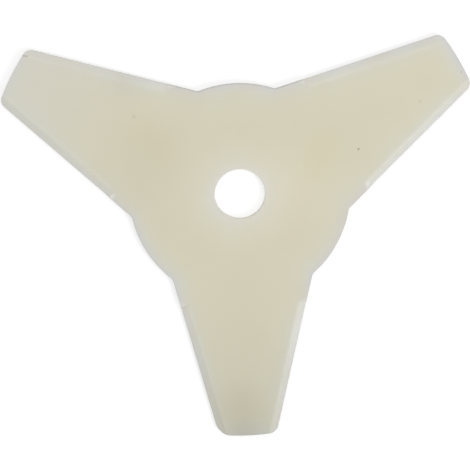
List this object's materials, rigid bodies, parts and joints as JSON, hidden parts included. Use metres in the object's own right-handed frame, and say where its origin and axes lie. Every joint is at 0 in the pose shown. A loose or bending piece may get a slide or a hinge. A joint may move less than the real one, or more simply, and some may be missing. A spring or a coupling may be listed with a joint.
{
  "type": "brush cutter blade",
  "caption": "Flat moulded nylon brush cutter blade with a round hub, a central bore and tapered arms, their long edges bevelled on both faces.",
  "frame": {"origin": "centre of the bore on the lower face", "axes": "+Z along the bore's axis, square to the two flat faces, with one arm pointing along -Y and one arm at 30 degrees from +X"},
  "size_m": [0.2326, 0.2032, 0.004],
  "materials": {
    "natural_nylon": "moulded, undyed and slightly translucent, with a soft satin sheen"
  },
  "bodies": {
    "root": {"blade": "natural_nylon"}
  },
  "joints": []
}
